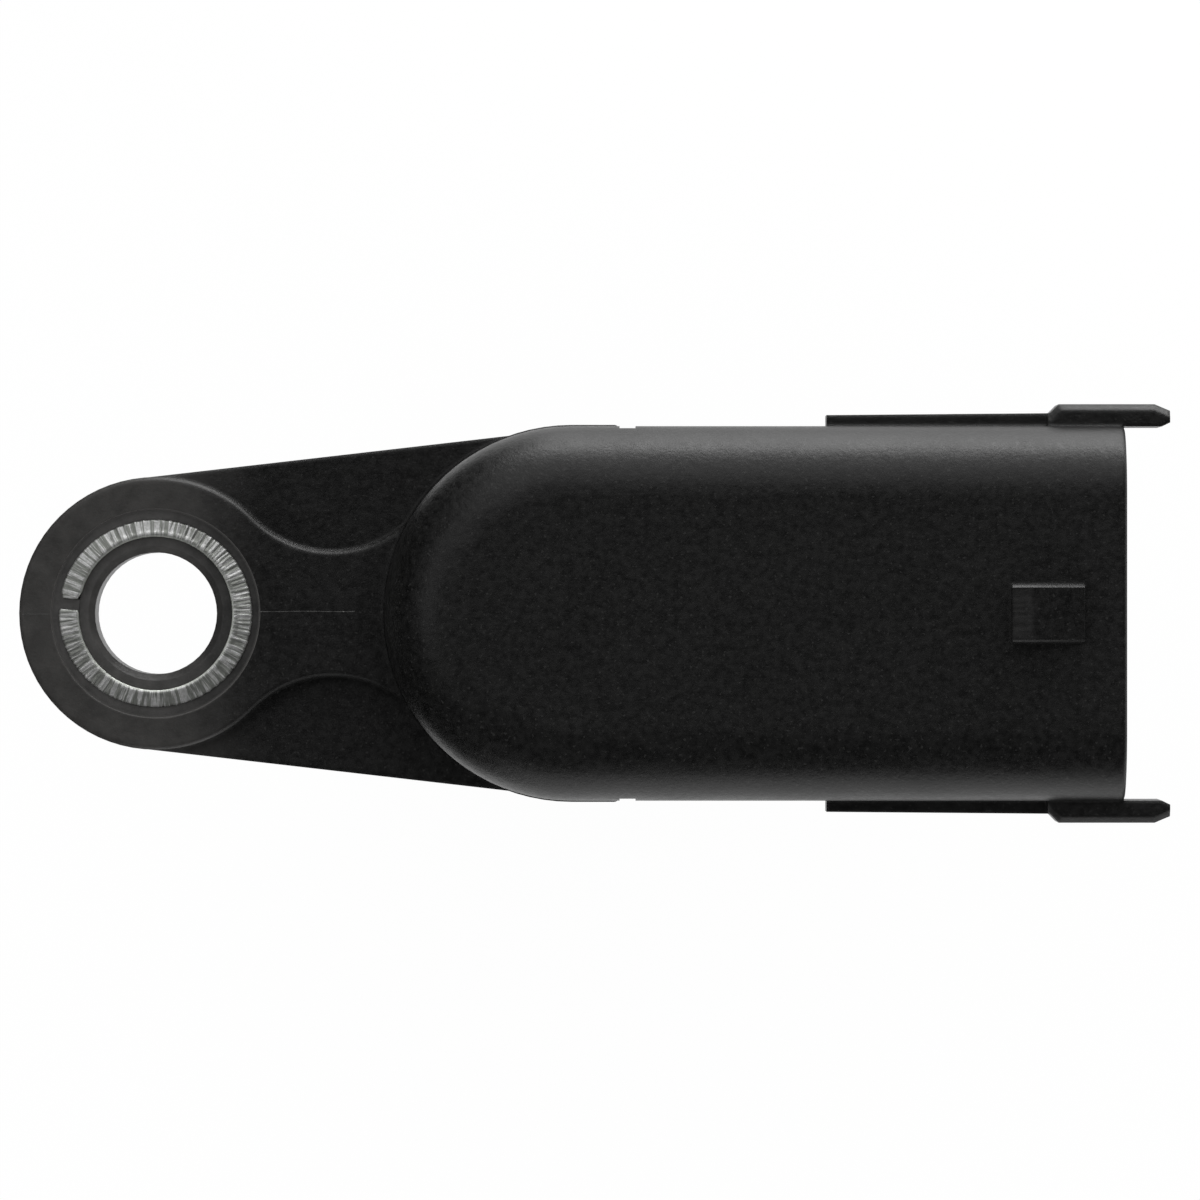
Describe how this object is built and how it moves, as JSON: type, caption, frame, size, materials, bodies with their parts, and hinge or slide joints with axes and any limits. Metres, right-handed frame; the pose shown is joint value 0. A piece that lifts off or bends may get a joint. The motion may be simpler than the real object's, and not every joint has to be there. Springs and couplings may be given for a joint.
{
  "type": "camshaft position sensor",
  "caption": "Moulded engine sensor with a bush-lined mounting eye, a sealed round probe below its head and a flat-blade plug socket at the far end.",
  "frame": {"origin": "axis of the mounting eye's screw hole, at the face that meets the engine", "axes": "+Z along the screw's axis away from the engine, +X from the eye over the probe to the plug socket, +Y across; the probe points along -Z"},
  "size_m": [0.0638, 0.0232, 0.04],
  "materials": {
    "housing_plastic": "glass-filled moulding, satin, faint mottle",
    "bush_steel": "zinc-plated, knurled, dull",
    "ring_rubber": "smooth, slightly oiled",
    "cap_plastic": "fine satin",
    "carrier_plastic": "satin",
    "magnet_alloy": "ground",
    "chip_epoxy": "matte epoxy",
    "terminal_tin": "tin-plated bronze, bright satin",
    "capacitor_ceramic": "fired ceramic"
  },
  "bodies": {
    "root": {"housing": "housing_plastic", "mounting_bush": "bush_steel", "o_ring": "ring_rubber", "sensor_cap": "cap_plastic", "chip_carrier": "carrier_plastic", "magnet": "magnet_alloy", "hall_chip": "chip_epoxy", "chip_lead_supply": "terminal_tin", "chip_lead_ground": "terminal_tin", "chip_lead_signal": "terminal_tin", "terminal_supply": "terminal_tin", "terminal_ground": "terminal_tin", "terminal_signal": "terminal_tin", "capacitor_supply": "capacitor_ceramic", "capacitor_signal": "capacitor_ceramic"}
  },
  "joints": []
}
